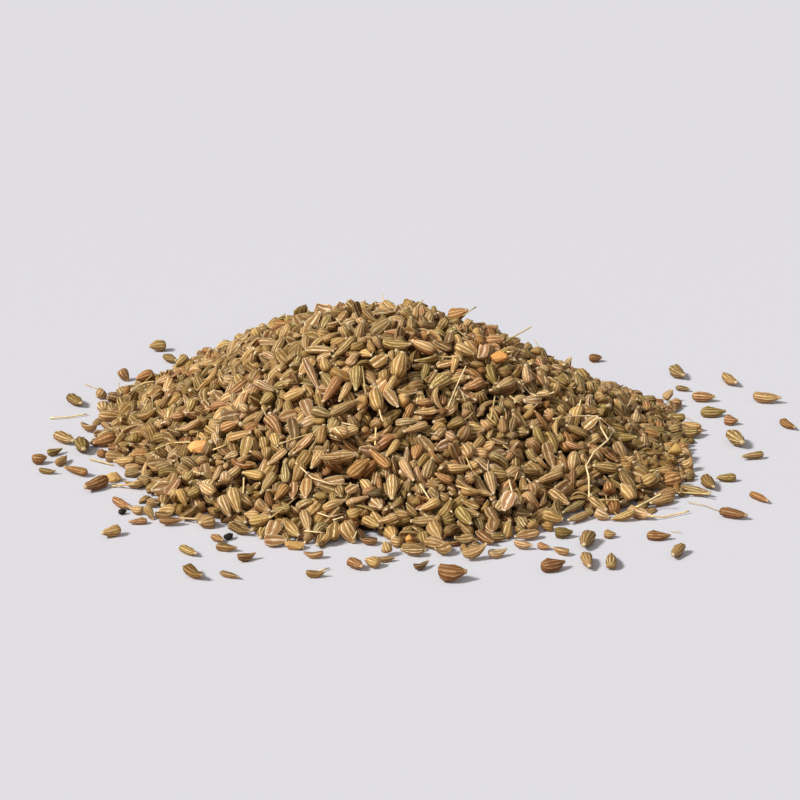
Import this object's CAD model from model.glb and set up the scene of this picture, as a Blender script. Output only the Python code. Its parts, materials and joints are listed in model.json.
import json
import math
import bmesh
import bpy
import numpy as np
from collections import namedtuple
from mathutils import Matrix, Vector, noise
from mathutils.bvhtree import BVHTree

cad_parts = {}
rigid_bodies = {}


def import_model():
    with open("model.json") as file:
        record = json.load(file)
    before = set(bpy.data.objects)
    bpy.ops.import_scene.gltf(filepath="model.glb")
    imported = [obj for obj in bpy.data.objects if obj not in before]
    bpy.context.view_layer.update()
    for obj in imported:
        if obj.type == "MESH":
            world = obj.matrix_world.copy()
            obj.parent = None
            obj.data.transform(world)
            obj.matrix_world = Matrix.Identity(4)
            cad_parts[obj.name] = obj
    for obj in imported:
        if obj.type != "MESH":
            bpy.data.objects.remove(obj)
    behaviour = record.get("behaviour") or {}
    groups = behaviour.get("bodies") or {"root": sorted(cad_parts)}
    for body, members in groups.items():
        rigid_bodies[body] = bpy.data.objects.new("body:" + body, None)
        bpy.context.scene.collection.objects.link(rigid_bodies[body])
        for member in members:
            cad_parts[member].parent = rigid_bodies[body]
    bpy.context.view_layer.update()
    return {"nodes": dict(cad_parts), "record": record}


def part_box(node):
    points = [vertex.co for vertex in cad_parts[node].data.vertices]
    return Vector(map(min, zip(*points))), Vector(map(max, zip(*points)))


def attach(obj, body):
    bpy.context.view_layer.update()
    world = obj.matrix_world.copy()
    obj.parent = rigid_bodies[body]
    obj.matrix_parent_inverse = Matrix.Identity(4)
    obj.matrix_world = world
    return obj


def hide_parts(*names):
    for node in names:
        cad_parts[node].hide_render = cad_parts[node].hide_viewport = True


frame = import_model()
scene = bpy.context.scene

# ---- The surface it lies on, the light and the camera ----
# A wide sheet of matt, pale lavender-grey board. A soft lamp stands at the left, high and a little
# in front, with a weak broad fill from the front and a pale room all round. None is the object.
scene.view_settings.view_transform = "Standard"
BOARD_HALF = 3.0
BOARD_COLOUR = (0.722, 0.728, 0.79, 1)
board_mesh = bpy.data.meshes.new("board")
board_mesh.from_pydata(
    [(-BOARD_HALF, -BOARD_HALF, 0), (BOARD_HALF, -BOARD_HALF, 0),
     (BOARD_HALF, BOARD_HALF, 0), (-BOARD_HALF, BOARD_HALF, 0)],
    [], [(0, 1, 2, 3)])
board = bpy.data.objects.new("board", board_mesh)
scene.collection.objects.link(board)
board_skin = bpy.data.materials.new("matt board")
board_skin.use_nodes = True
board_finish = board_skin.node_tree.nodes["Principled BSDF"]
board_finish.inputs["Base Color"].default_value = BOARD_COLOUR
board_finish.inputs["Roughness"].default_value = 0.9
board_finish.inputs["Specular IOR Level"].default_value = 0.1
board_mesh.materials.append(board_skin)

room = bpy.data.worlds.new("pale room")
room.use_nodes = True
room.node_tree.nodes["Background"].inputs["Color"].default_value = (1.0, 0.94, 0.88, 1)
room.node_tree.nodes["Background"].inputs["Strength"].default_value = 0.24
scene.world = room

LAMPS = (
    ("soft lamp", (-0.80, -0.54, 0.83), 3.42, 12, (1.0, 0.98, 0.95)),
    ("front fill", (-0.10, -0.90, 0.50), 0.62, 40, (1.0, 0.99, 0.98)),
)
for name, lamp_from, energy, spread_degrees, colour in LAMPS:
    lamp_data = bpy.data.lights.new(name, "SUN")
    lamp_data.energy = energy
    lamp_data.angle = math.radians(spread_degrees)
    lamp_data.color = colour
    lamp = bpy.data.objects.new(name, lamp_data)
    lamp.rotation_euler = Vector(lamp_from).to_track_quat("Z", "Y").to_euler()
    scene.collection.objects.link(lamp)

MM = 0.001
VIEW_DISTANCE = 430 * MM
VIEW_ELEVATION = math.radians(18)
FOCAL_PIXELS = 2387
PICTURE_PIXELS = 800
LIFT_PIXELS = 60
VIEW_LIFT = math.atan(LIFT_PIXELS / FOCAL_PIXELS)
camera_data = bpy.data.cameras.new("camera")
camera_data.sensor_width = 36
camera_data.lens = camera_data.sensor_width * FOCAL_PIXELS / PICTURE_PIXELS
camera_data.clip_start = 0.01
camera = bpy.data.objects.new("camera", camera_data)
camera.location = (0, -VIEW_DISTANCE * math.cos(VIEW_ELEVATION),
                   VIEW_DISTANCE * math.sin(VIEW_ELEVATION))
camera.rotation_euler = (math.pi / 2 - VIEW_ELEVATION + VIEW_LIFT, 0, 0)
scene.collection.objects.link(camera)
scene.camera = camera

# ---- The shapes that the seeds take ----
# Dry fruits, broad at one end, with ten pale ribs and a small knob on a narrow neck. Some keep
# their stalk. Many have split in two halves, with a ribbed back, a flat face that has a pale rim
# and middle line, and ends that turn up towards the face. No two versions are lumpy alike.
Shape = namedtuple("Shape", "name half length width thickness rise sway stalk share")
SHAPES = (
    Shape("stout", False, 3.5, 2.50, 2.20, 0.00, 0.12, 0.0, 13),
    Shape("pear", False, 4.0, 2.35, 2.00, 0.12, 0.15, 0.0, 19),
    Shape("pear_on_stalk", False, 3.9, 2.25, 1.95, 0.10, -0.18, 2.1, 9),
    Shape("slim", False, 4.6, 1.95, 1.70, 0.20, 0.25, 0.0, 8),
    Shape("slim_on_stalk", False, 4.4, 1.80, 1.60, 0.25, -0.35, 1.6, 5),
    Shape("bowed", False, 4.4, 2.05, 1.75, 0.60, 0.45, 0.0, 9),
    Shape("crescent", True, 4.2, 1.85, 1.20, -0.70, 0.15, 0.0, 9),
    Shape("open_half", True, 4.0, 2.25, 1.15, -0.30, 0.05, 0.0, 17),
    Shape("curled_half", True, 4.3, 1.65, 1.10, -1.00, 0.30, 0.0, 4),
    Shape("crumb", False, 2.0, 1.55, 1.30, 0.00, 0.05, 0.0, 7),
    Shape("grain", False, 2.7, 2.30, 2.15, 0.00, 0.00, 0.0, 0),
)
shape_number = {shape.name: number for number, shape in enumerate(SHAPES)}
SMOOTH_SHAPES = ("grain",)
PLAIN_GROUND = 0.42
VERSIONS = 3
RIB_POINTS = 20
RIB_HEIGHT = 0.06
RIB_VARIES = (0.5, 1.5)
FURROW_BETWEEN_HALVES = 0.10
FURROW_POINTS = (RIB_POINTS // 4, 3 * RIB_POINTS // 4)
STALK_RADIUS = 0.13
STALK_ROOT = 0.15
STALK_BEND = 0.5
STALK_PARTS = 3
SWAY_AT_MIDDLE = -0.3
TIP_ASIDE = 0.06
CRUMB_LUMPS = 2.2
# Waves of lumps on a seed: how high they are, how many go round it, and how they wind along it.
LUMPS = ((0.09, 2, 2.5), (0.08, 3, -3.5), (0.07, 1, 5.0))
# Across a split face: where, how deep it is sunk there, and 1 on its pale middle line.
FACE_POINTS = ((-0.55, 0.30, 0.0), (0.0, 0.12, 1.0), (0.55, 0.30, 0.0))
# On the square map of a seed the body takes the lower part, and a stalk the strip at the top.
BODY_ON_MAP = 0.88
STALK_ON_MAP = 0.9
STALK_MAP_HEIGHT = 0.1
STALK_ENDS_ON_MAP = (0.91, 0.99)
# From the broad end to the tip: share of the length, and share of the half width there.
FINE_RINGS = ((0.02, 0.46), (0.09, 0.82), (0.28, 1.0), (0.56, 0.93), (0.79, 0.62), (0.91, 0.32),
              (0.975, 0.32))
MIDDLE_RINGS = ((0.03, 0.54), (0.24, 0.97), (0.64, 0.85), (0.94, 0.32))
PLAIN_RINGS = ((0.14, 0.70), (0.45, 1.0), (0.80, 0.50))


def section_round(shape, odd):
    """Points round a seed: across, up, 1 on a rib or 0 in a furrow, and 1 on a split face."""
    points = []
    last = RIB_POINTS // 2 + 1 if shape.half else RIB_POINTS
    for step in range(last):
        turn = 2 * math.pi * step / RIB_POINTS
        on_rib = step % 2 == 0
        size = 1 + RIB_HEIGHT * odd.uniform(*RIB_VARIES) if on_rib else 1 - RIB_HEIGHT
        if shape.name in SMOOTH_SHAPES:
            on_rib, size = PLAIN_GROUND, 1.0
        if step in FURROW_POINTS and not shape.half:
            size -= FURROW_BETWEEN_HALVES
        up = size * math.sin(turn)
        points.append((size * math.cos(turn), 2 * up - 1 if shape.half else up, float(on_rib), 0.0))
    if shape.half:
        for across, sunk, line in FACE_POINTS:
            points.append((across, sunk - 1, line, 1.0))
    return points


def seed_mesh(name, shape, version, rings, every, stalk_sides):
    """One seed about its middle, its tip towards +X, marked for the finish and unrolled."""
    odd = np.random.default_rng(100 * version + len(shape.name) + int(10 * shape.length))
    lean = odd.uniform(0, 2 * math.pi, 4)
    section = section_round(shape, odd)[::every]
    if every > 1:
        section = [(across, up, PLAIN_GROUND, face) for across, up, _, face in section]
    lumpy = CRUMB_LUMPS if shape.name == "crumb" else 1.0
    count = len(section)

    def middle(along):
        """A point on the bent middle line of the seed, from -1 at its broad end to 1 at its tip."""
        return (along * shape.length / 2,
                shape.sway * (along**2 + SWAY_AT_MIDDLE) + TIP_ASIDE * along,
                shape.rise * along**2)

    x, y, z = middle(-1)
    points, ribs, inner, spots = [(x, y, z)], [0.5], [0.0], []
    for place, size in rings:
        along = (place - 0.5) * 2
        x, y, z = middle(along)
        for step, (across, up, rib, face) in enumerate(section):
            turn = 2 * math.pi * step / count
            lump = sum(high * math.sin(about * turn + winding * along + start)
                       for (high, about, winding), start in zip(LUMPS, lean))
            swell = size * (1 + lumpy * lump)
            points.append((x, y + across * swell * shape.width / 2,
                           z + up * swell * shape.thickness / 2))
            ribs.append(rib)
            inner.append(face)
    x, y, z = middle(1)
    points.append((x, y, z))
    ribs.append(0.8)
    inner.append(0.0)
    last = len(points) - 1
    stations = (0.0,) + tuple(place for place, _ in rings) + (1.0,)
    stations = [BODY_ON_MAP * station for station in stations]
    faces = []
    top_ring = 1 + (len(rings) - 1) * count
    for step in range(count):
        after = (step + 1) % count
        u0, u1 = step / count, (step + 1) / count
        faces.append((0, 1 + after, 1 + step))
        spots += [((u0 + u1) / 2, stations[0]), (u1, stations[1]), (u0, stations[1])]
        for ring in range(len(rings) - 1):
            start = 1 + ring * count
            v0, v1 = stations[ring + 1], stations[ring + 2]
            faces.append((start + step, start + after, start + count + after, start + count + step))
            spots += [(u0, v0), (u1, v0), (u1, v1), (u0, v1)]
        faces.append((top_ring + step, top_ring + after, last))
        spots += [(u0, stations[-2]), (u1, stations[-2]), ((u0 + u1) / 2, stations[-1])]
    if shape.stalk and stalk_sides:
        x, y, z = middle(-1)
        curve = odd.uniform(-STALK_BEND, STALK_BEND, 2)
        for part in range(STALK_PARTS + 1):
            reach = shape.stalk * part / STALK_PARTS
            centre = (x + STALK_ROOT - reach, y + curve[0] * (part / STALK_PARTS)**2,
                      z + curve[1] * (part / STALK_PARTS)**2)
            for side in range(stalk_sides):
                turn = 2 * math.pi * side / stalk_sides
                points.append((centre[0], centre[1] + STALK_RADIUS * math.cos(turn),
                               centre[2] + STALK_RADIUS * math.sin(turn)))
                ribs.append(1.0)
                inner.append(0.0)
        for part in range(STALK_PARTS):
            v0, v1 = (STALK_ON_MAP + STALK_MAP_HEIGHT * row / STALK_PARTS
                      for row in (part, part + 1))
            for side in range(stalk_sides):
                after = (side + 1) % stalk_sides
                here = last + 1 + part * stalk_sides
                there = here + stalk_sides
                faces.append((here + after, here + side, there + side, there + after))
                u0, u1 = side / stalk_sides, (side + 1) / stalk_sides
                spots += [(u1, v0), (u0, v0), (u0, v1), (u1, v1)]
        end = last + 1 + STALK_PARTS * stalk_sides
        faces.append(tuple(end + side for side in reversed(range(stalk_sides))))
        spots += [(0.5, STALK_ENDS_ON_MAP[1])] * stalk_sides
        faces.append(tuple(last + 1 + side for side in range(stalk_sides)))
        spots += [(0.5, STALK_ENDS_ON_MAP[0])] * stalk_sides
    mesh = bpy.data.meshes.new(name)
    mesh.from_pydata([[MM * value for value in point] for point in points], [], faces)
    mesh.attributes.new("rib", "FLOAT", "POINT").data.foreach_set("value", ribs)
    mesh.attributes.new("inner", "FLOAT", "POINT").data.foreach_set("value", inner)
    along = [point[0] / shape.length + 0.5 for point in points]
    mesh.attributes.new("along", "FLOAT", "POINT").data.foreach_set("value", along)
    layer = mesh.uv_layers.new(name="OFBake")
    layer.uv.foreach_set("vector", np.array(spots, np.float32).ravel())
    mesh.shade_smooth()
    return mesh


def shape_collection(label, rings, every, stalk_sides):
    """All the shapes in one collection, in the order of SHAPES, each in all its versions."""
    group = bpy.data.collections.new(label)
    scene.collection.children.link(group)
    for number, shape in enumerate(SHAPES):
        for version in range(VERSIONS):
            name = f"{label}_{number:02d}_{version}_{shape.name}"
            mesh = seed_mesh(name, shape, version, rings, every, stalk_sides)
            group.objects.link(bpy.data.objects.new(name, mesh))
    return group


fine_shapes = shape_collection("fine", FINE_RINGS, 1, 4)
middle_shapes = shape_collection("middle", MIDDLE_RINGS, 1, 3)
plain_shapes = shape_collection("plain", PLAIN_RINGS, 2, 0)

# ---- How the seeds were poured ----
# They rolled until each found a low place. They are let down one by one on a map of heights,
# from an inner core up to the surface of the solid heap, and thinly over its foot.
CELL = 0.25 * MM
COARSE = 4
MARGIN = 12 * MM
low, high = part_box("heap")
grid_x = np.arange(low.x - MARGIN, high.x + MARGIN, CELL)
grid_y = np.arange(low.y - MARGIN, high.y + MARGIN, CELL)
solid_mesh = frame["nodes"]["heap"].data
solid_tree = BVHTree.FromPolygons([v.co for v in solid_mesh.vertices],
                                  [p.vertices for p in solid_mesh.polygons])
coarse_x, coarse_y = grid_x[::COARSE], grid_y[::COARSE]
coarse = np.zeros((len(coarse_y), len(coarse_x)))
patchy = np.zeros_like(coarse)
ABOVE_ALL = 100 * MM
PATCH = 5.5 * MM
for row, y in enumerate(coarse_y):
    for column, x in enumerate(coarse_x):
        hit = solid_tree.ray_cast(Vector((x, y, ABOVE_ALL)), Vector((0, 0, -1)))[0]
        if hit:
            coarse[row, column] = hit.z
        patchy[row, column] = noise.noise(Vector((x, y, 0)) / PATCH)


SMOOTHED = 5
NOT_ZERO = 1e-6
INLAND_RINGS = 8


def spread(values):
    """Values averaged with those round them, time after time."""
    for _ in range(SMOOTHED):
        for axis in (0, 1):
            values = (np.roll(values, 1, axis) + 2 * values + np.roll(values, -1, axis)) / 4
    return values


filled = (coarse > 0).astype(float)
coarse = np.where(filled > 0, spread(coarse) / np.maximum(spread(filled), NOT_ZERO), 0)
inland = np.zeros_like(coarse)
ring = filled.copy()
for _ in range(INLAND_RINGS):
    inland += ring * CELL * COARSE
    ring = np.minimum.reduce([ring] + [np.roll(ring, s, a) for s in (1, -1) for a in (0, 1)])


def finer(values):
    """The coarse map at every cell of the fine one."""
    rows, columns = np.arange(len(grid_y)) / COARSE, np.arange(len(grid_x)) / COARSE
    row = np.minimum(rows.astype(int), len(coarse_y) - 2)
    column = np.minimum(columns.astype(int), len(coarse_x) - 2)
    up, right = (rows - row)[:, None], (columns - column)[None]
    near = values[np.ix_(row, column)] * (1 - right) + values[np.ix_(row, column + 1)] * right
    far = values[np.ix_(row + 1, column)] * (1 - right) + values[np.ix_(row + 1, column + 1)] * right
    return near * (1 - up) + far * up


surface = finer(coarse)
inland = finer(inland)
patchy = finer(patchy)
edge = finer(filled) > 0.5
FOOT_BAND = 5 * MM
FOOT_DROP = 0.9 * MM
BARE_BAND = 3.2 * MM
BARE_PATCHES = 0.12
thin_foot = surface - FOOT_DROP * np.clip(1 - inland / FOOT_BAND, 0, 1)
thin_foot = np.where(edge, thin_foot, 0)
bare = (inland < BARE_BAND) & (patchy > BARE_PATCHES)

SHELL_DEPTH = 6.0 * MM
SETTLE = 0.12 * MM
BELOW_SURFACE = 0.30 * MM
TRIES = 5
LEAST_ROOM = 0.7 * MM
CLEAR_OF_LOOSE = 0.2 * MM
MOST_HEIGHT = 50 * MM
EGG = (0.96, 0.94, 0.94)
EGG_REACH = 0.98
SIZE_MIDDLE, SIZE_SPREAD = 1.03, 0.13
SIZE_LEAST, SIZE_MOST = 0.72, 1.35
SIDES_SPREAD = 0.05
LEVEL_SPREAD = 0.14
TIPPED_SHARE, TIPPED_SPREAD = 0.22, 0.45
FELT_ALONG, FELT_ACROSS = 1.3 * MM, 0.8 * MM
MOST_SLOPE = 1.1
# How a half comes to lie, in half turns: on its face, on its back, or on either side.
HALF_SPINS = (0.0, 1.0, 0.5, -0.5)
HALF_SPIN_SHARES = (0.2, 0.44, 0.18, 0.18)
HALF_SPIN_SPREAD = 0.25
LISTED_AGAIN = 40
rng = np.random.default_rng(7)
top = np.maximum(surface - SHELL_DEPTH, 0)
owner = np.full(top.shape, -1)
clear = np.zeros(top.shape, bool)
for name in frame["nodes"]:
    if name != "heap":
        near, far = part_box(name)
        in_x = (grid_x > near.x - CLEAR_OF_LOOSE) & (grid_x < far.x + CLEAR_OF_LOOSE)
        in_y = (grid_y > near.y - CLEAR_OF_LOOSE) & (grid_y < far.y + CLEAR_OF_LOOSE)
        clear |= in_y[:, None] & in_x[None]
top[clear] = ABOVE_ALL
pour_shares = np.array([shape.share for shape in SHAPES], float)
pour_shares /= pour_shares.sum()
seeds = []
Seed = namedtuple("Seed", "x y z turn shape version scale kind tone")


def turned(yaw, pitch, roll, spin):
    """The rotation of a seed that lies along a slope and is spun about its own length."""
    along = np.array([math.cos(yaw), math.sin(yaw), math.tan(pitch)])
    along /= np.linalg.norm(along)
    across = np.array([-math.sin(yaw), math.cos(yaw), math.tan(roll)])
    up = np.cross(along, across)
    up /= np.linalg.norm(up)
    across = np.cross(up, along)
    c, s = math.cos(spin), math.sin(spin)
    return np.stack([along, c * across + s * up, c * up - s * across], axis=1)


def footprint(turn, half):
    """Cells that a lying seed covers, with how low and how high it reaches over each."""
    shape = turn @ np.diag(1 / half**2) @ turn.T
    steps = int(half.max() * EGG_REACH / CELL)
    offset = np.arange(-steps, steps + 1) * CELL
    dx, dy = np.meshgrid(offset, offset)
    b = shape[0, 2] * dx + shape[1, 2] * dy
    c = shape[0, 0] * dx**2 + 2 * shape[0, 1] * dx * dy + shape[1, 1] * dy**2 - 1
    inside = b**2 - shape[2, 2] * c
    covered = inside > 0
    root = np.sqrt(np.maximum(inside, 0))
    below = np.where(covered, (-b - root) / shape[2, 2], np.inf)
    above = np.where(covered, (-b + root) / shape[2, 2], -np.inf)
    return steps, covered, below, above


def slope_at(heights, row, column, yaw, reach):
    """How steeply the ground rises along one direction, seen over the length of a seed."""
    down, right = math.sin(yaw) * reach / CELL, math.cos(yaw) * reach / CELL
    ends = []
    for sign in (1, -1):
        r, c = int(round(row + sign * down)), int(round(column + sign * right))
        ends.append(np.minimum(heights[r - 1:r + 2, c - 1:c + 2], MOST_HEIGHT).mean())
    return math.atan2(ends[0] - ends[1], 2 * reach)


def half_sizes(shape, scale):
    """Half the length, width and thickness of the egg that stands for a seed as it settles."""
    return np.array([shape.length, shape.width, shape.thickness]) * MM * (np.array(EGG) / 2) * scale


def settle(turn, half, row, column):
    """How high the middle of a seed comes to lie, and the cells that it then covers."""
    steps, covered, below, above = footprint(turn, half)
    window = (slice(row - steps, row + steps + 1), slice(column - steps, column + steps + 1))
    height = (top[window] - below)[covered].max() - SETTLE
    height = max(height, -below.min())
    return height, window, np.where(covered, height + above, -1)


def lay(seed, window, reached, headroom=0.0):
    """Put a seed on the pile, and remember where it is the highest."""
    higher = reached > top[window]
    owner[window][higher] = len(seeds)
    top[window] = np.maximum(top[window], np.where(reached > 0, reached + headroom, -1))
    seeds.append(seed)


def room_under(target):
    """The cells where another seed may find room under the target."""
    return np.argwhere(edge & ~clear & ~bare & (target - top > LEAST_ROOM))


def pour(target, most_misses):
    """Let seeds down until hardly another finds room under the target."""
    misses, since = 0, 0
    room_left = room_under(target)
    while misses < most_misses and len(room_left):
        number = int(rng.choice(len(SHAPES), p=pour_shares))
        shape = SHAPES[number]
        scale = float(np.clip(rng.normal(SIZE_MIDDLE, SIZE_SPREAD), SIZE_LEAST, SIZE_MOST))
        scale = scale * rng.normal(1, SIDES_SPREAD, 3)
        half = half_sizes(shape, scale)
        best = None
        for row, column in room_left[rng.integers(len(room_left), size=TRIES)]:
            yaw = rng.uniform(0, 2 * math.pi)
            tipping = TIPPED_SPREAD if rng.random() < TIPPED_SHARE else LEVEL_SPREAD
            pitch = slope_at(top, row, column, yaw, FELT_ALONG) + rng.normal(0, tipping)
            roll = slope_at(top, row, column, yaw + math.pi / 2, FELT_ACROSS)
            roll += rng.normal(0, LEVEL_SPREAD)
            pitch, roll = np.clip([pitch, roll], -MOST_SLOPE, MOST_SLOPE)
            spin = rng.uniform(0, 2 * math.pi)
            if shape.half:
                spin = rng.choice(HALF_SPINS, p=HALF_SPIN_SHARES) * math.pi
                spin += rng.normal(0, HALF_SPIN_SPREAD)
            turn = turned(yaw, pitch, roll, spin)
            height, window, reached = settle(turn, half, row, column)
            proud = height - target[row, column]
            if best is None or proud < best[0]:
                best = (proud, height, row, column, turn, window, reached)
        proud, height, row, column, turn, window, reached = best
        if proud > -BELOW_SURFACE:
            misses += 1
            continue
        misses = 0
        lay(Seed(grid_x[column], grid_y[row], height, turn, number, int(rng.integers(VERSIONS)),
                 scale, None, rng.random()), window, reached)
        since += 1
        if since % LISTED_AGAIN == 0:
            room_left = room_under(target)


UNDER_MARKED = 1.0 * MM
MISSES_BENEATH = 40
pour(thin_foot - UNDER_MARKED, MISSES_BENEATH)

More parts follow.
